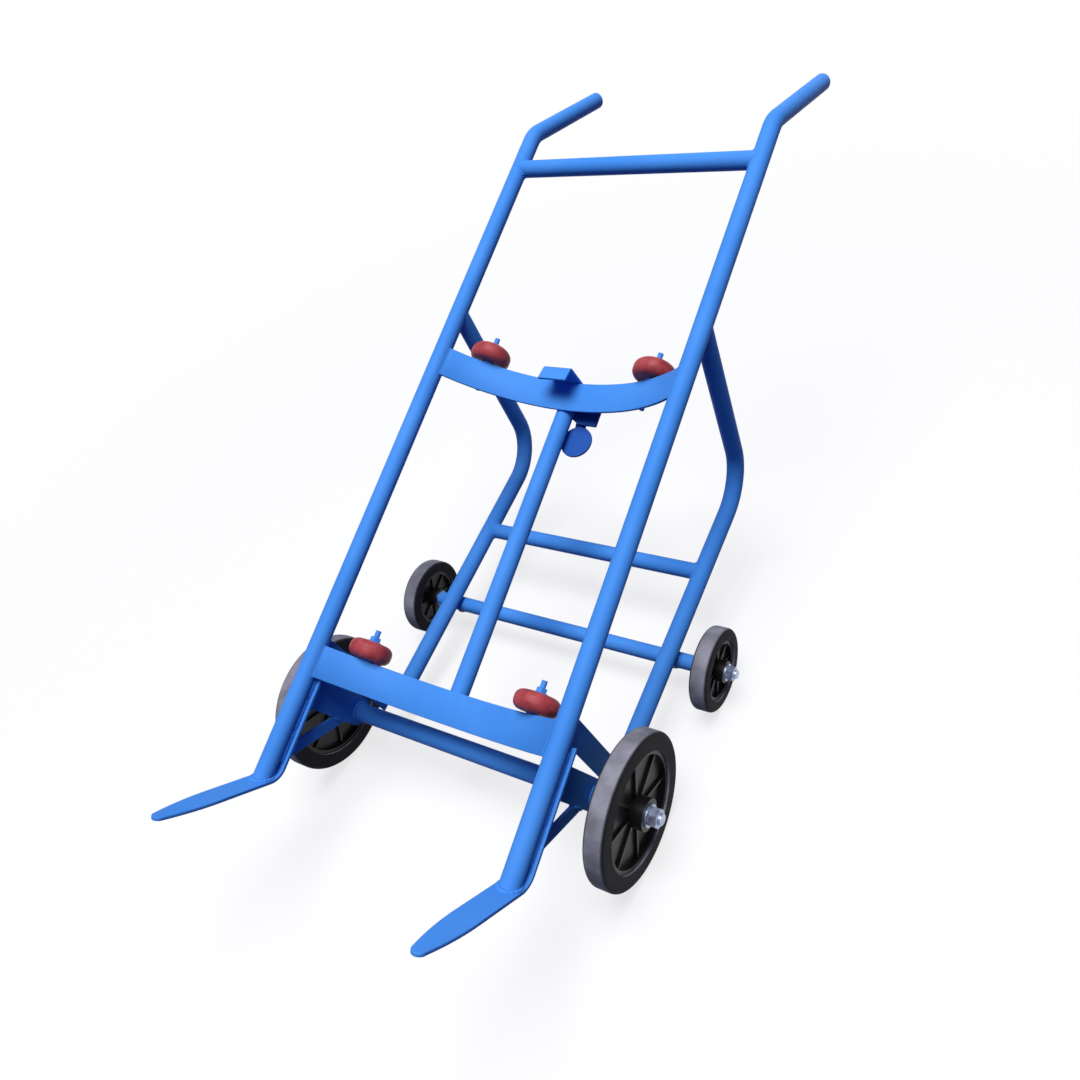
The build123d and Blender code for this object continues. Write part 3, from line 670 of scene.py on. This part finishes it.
# Wheel centres: cast iron, with a ribbed web, painted black. The casting's skin shows through
# the paint as a fine pebble.
casting_skin_mm = 4  # a real casting's pebble is about 1 mm and would not show
wheel_black, tree, shader, place = new_finish(
    "black_paint_on_cast_iron", {"Base Color": linear("#0C0B0E"), "IOR": 1.5, "Specular IOR Level": 0.25}
)
skin = add_node(
    tree, "ShaderNodeTexNoise", {"Scale": 1000 / casting_skin_mm, "Detail": 3.0}, {"Vector": place}
)
pebble = add_node(
    tree, "ShaderNodeBump", {"Strength": 0.25, "Distance": 0.001}, {"Height": skin.outputs["Fac"]}
)
tree.links.new(pebble.outputs["Normal"], shader.inputs["Normal"])
black_gloss = add_node(
    tree, "ShaderNodeMapRange", {"To Min": 0.28, "To Max": 0.5}, {"Value": skin.outputs["Fac"]}
)
tree.links.new(black_gloss.outputs["Result"], shader.inputs["Roughness"])
paint_nodes(wheel_black, *[f"{wheel}_wheel_centre" for wheel in wheel_places])

# Wheel bushes: plain bronze sleeves, bored and pressed into the hubs, where they turn on the axle
# rods. The metal is lightly clouded from casting.
bronze_cloud_mm = 6
bush_bronze, tree, shader, place = new_finish("plain_bronze", {"Metallic": 1.0})
cast_cloud = add_node(
    tree, "ShaderNodeTexNoise", {"Scale": 1000 / bronze_cloud_mm, "Detail": 3.0}, {"Vector": place}
)
bronze_tone = add_node(tree, "ShaderNodeValToRGB", links={"Fac": cast_cloud.outputs["Fac"]})
bronze_tone.color_ramp.elements[0].color = linear("#8A6434")
bronze_tone.color_ramp.elements[1].color = linear("#C49A5A")
tree.links.new(bronze_tone.outputs["Color"], shader.inputs["Base Color"])
bronze_gloss = add_node(
    tree, "ShaderNodeMapRange", {"To Min": 0.3, "To Max": 0.45}, {"Value": cast_cloud.outputs["Fac"]}
)
tree.links.new(bronze_gloss.outputs["Result"], shader.inputs["Roughness"])
paint_nodes(bush_bronze, *[f"{wheel}_bush" for wheel in wheel_places])

# Drum rollers: crowned discs of moulded polyurethane, brick red all through, one on each stud. The
# mould leaves a dull, slightly grained skin.
roller_cloud_mm = 22
roller_grain_mm = 3  # the real grain is finer than 1 mm and would not show
roller_red, tree, shader, place = new_finish(
    "moulded_red_polyurethane", {"IOR": 1.5, "Specular IOR Level": 0.2}
)
tint = add_node(
    tree, "ShaderNodeTexNoise", {"Scale": 1000 / roller_cloud_mm, "Detail": 4.0}, {"Vector": place}
)
roller_tone = add_node(tree, "ShaderNodeValToRGB", links={"Fac": tint.outputs["Fac"]})
roller_tone.color_ramp.elements[0].position = 0.3
roller_tone.color_ramp.elements[0].color = linear("#8A2E34")
roller_tone.color_ramp.elements[1].position = 0.7
roller_tone.color_ramp.elements[1].color = linear("#B34A4D")
tree.links.new(roller_tone.outputs["Color"], shader.inputs["Base Color"])
roller_gloss = add_node(
    tree, "ShaderNodeMapRange", {"To Min": 0.35, "To Max": 0.55}, {"Value": tint.outputs["Fac"]}
)
tree.links.new(roller_gloss.outputs["Result"], shader.inputs["Roughness"])
mould = add_node(
    tree, "ShaderNodeTexNoise", {"Scale": 1000 / roller_grain_mm, "Detail": 2.0}, {"Vector": place}
)
mould_skin = add_node(
    tree, "ShaderNodeBump", {"Strength": 0.12, "Distance": 0.0008}, {"Height": mould.outputs["Fac"]}
)
tree.links.new(mould_skin.outputs["Normal"], shader.inputs["Normal"])
for level in ("upper", "lower"):
    paint_nodes(roller_red, *[f"{level}_{roller}" for roller in both("roller")])

# Studio: a plain pale floor that runs out of view, one broad soft light overhead, a weak fill
# from the front, and the camera where the photograph was taken from, rolled as it was.
floor_size_m = 60.0
glow_starts_m, glow_ends_m = 0.9, 2.4
glow_near, glow_far = 0.75, 1.0
bpy.ops.object.select_all(action="DESELECT")
bpy.ops.mesh.primitive_plane_add(size=floor_size_m)
floor = bpy.context.object
floor.name = "studio_floor"


def seen_share(tree):
    """Output that is 1 for what the camera sees, straight or mirrored or through something clear."""
    rays = add_node(tree, "ShaderNodeLightPath")
    mirrored = add_node(
        tree, "ShaderNodeMath", {"operation": "MAXIMUM"},
        {0: rays.outputs["Is Glossy Ray"], 1: rays.outputs["Is Transmission Ray"]},
    )
    seen = add_node(
        tree, "ShaderNodeMath", {"operation": "MAXIMUM"},
        {0: rays.outputs["Is Camera Ray"], 1: mirrored.outputs["Value"]},
    )
    return seen.outputs["Value"]


floor_paint = bpy.data.materials.new("pale_floor_paint")
floor_paint.use_nodes = True
tree = floor_paint.node_tree
tree.nodes.remove(tree.nodes["Principled BSDF"])
spot = add_node(tree, "ShaderNodeTexCoord")
reach = add_node(tree, "ShaderNodeVectorMath", {"operation": "LENGTH"}, {0: spot.outputs["Object"]})
glow_share = add_node(
    tree, "ShaderNodeMapRange",
    {"From Min": glow_starts_m, "From Max": glow_ends_m, "To Min": glow_near, "To Max": glow_far},
    {"Value": reach.outputs["Value"]},
)
# The floor keeps a share of the shadow near the truck and turns plain white further out
paint = add_node(tree, "ShaderNodeBsdfDiffuse", {"Color": linear("#F4F4F4")})
glow = add_node(tree, "ShaderNodeEmission", {"Color": linear("#FFFFFF"), "Strength": 1.0})
seen_floor = add_node(
    tree, "ShaderNodeMixShader",
    links={0: glow_share.outputs["Result"], 1: paint.outputs[0], 2: glow.outputs[0]},
)
# What lights the truck from below is a dull floor, so that the tubes' undersides stay deep
dull_floor = add_node(tree, "ShaderNodeBsdfDiffuse", {"Color": linear("#222D58")})
floor_mix = add_node(
    tree, "ShaderNodeMixShader",
    links={0: seen_share(tree), 1: dull_floor.outputs[0], 2: seen_floor.outputs[0]},
)
tree.links.new(floor_mix.outputs[0], tree.nodes["Material Output"].inputs["Surface"])
floor.data.materials.append(floor_paint)

studio = bpy.context.scene.world or bpy.data.worlds.new("studio")
bpy.context.scene.world = studio
studio.use_nodes = True
tree = studio.node_tree
cool_fill = tree.nodes["Background"]
cool_fill.inputs["Color"].default_value = linear("#7C9AFF")
cool_fill.inputs["Strength"].default_value = 0.15
backdrop = add_node(tree, "ShaderNodeBackground", {"Color": linear("#FFFFFF"), "Strength": 1.0})
sky = add_node(
    tree, "ShaderNodeMixShader",
    links={0: seen_share(tree), 1: cool_fill.outputs[0], 2: backdrop.outputs[0]},
)
tree.links.new(sky.outputs[0], tree.nodes["World Output"].inputs["Surface"])

lamp_aim = Vector((0.0, 0.0, 0.4))
for lamp_name, lamp_place, lamp_size, lamp_power in (
    ("overhead_light", Vector((0.4, -0.6, 7.0)), 3.8, 570.0),
    ("front_light", Vector((0.9, -2.8, 2.0)), 1.6, 2.0),
):
    lamp = bpy.data.lights.new(lamp_name, "AREA")
    lamp.size = lamp_size
    lamp.energy = lamp_power
    holder = bpy.data.objects.new(lamp_name, lamp)
    bpy.context.scene.collection.objects.link(holder)
    holder.location = lamp_place
    holder.rotation_euler = (lamp_aim - lamp_place).to_track_quat("-Z", "Y").to_euler()

camera_place = on_truck(885.0, -1255.1, 135.2)
camera_turn = radians(43.3635)
camera_tilt = radians(41.6503)
camera_roll = radians(-20.5722)
camera_lens = bpy.data.cameras.new("camera")
camera_lens.sensor_width = 36.0
camera_lens.lens = 30.948
camera = bpy.data.objects.new("camera", camera_lens)
bpy.context.scene.collection.objects.link(camera)
camera.matrix_world = (
    Matrix.Translation(camera_place)
    @ Matrix.Rotation(camera_turn, 4, "Z")
    @ Matrix.Rotation(pi / 2 - camera_tilt, 4, "X")
    @ Matrix.Rotation(camera_roll, 4, "Z")
)
bpy.context.scene.camera = camera
bpy.context.scene.view_settings.view_transform = "Standard"
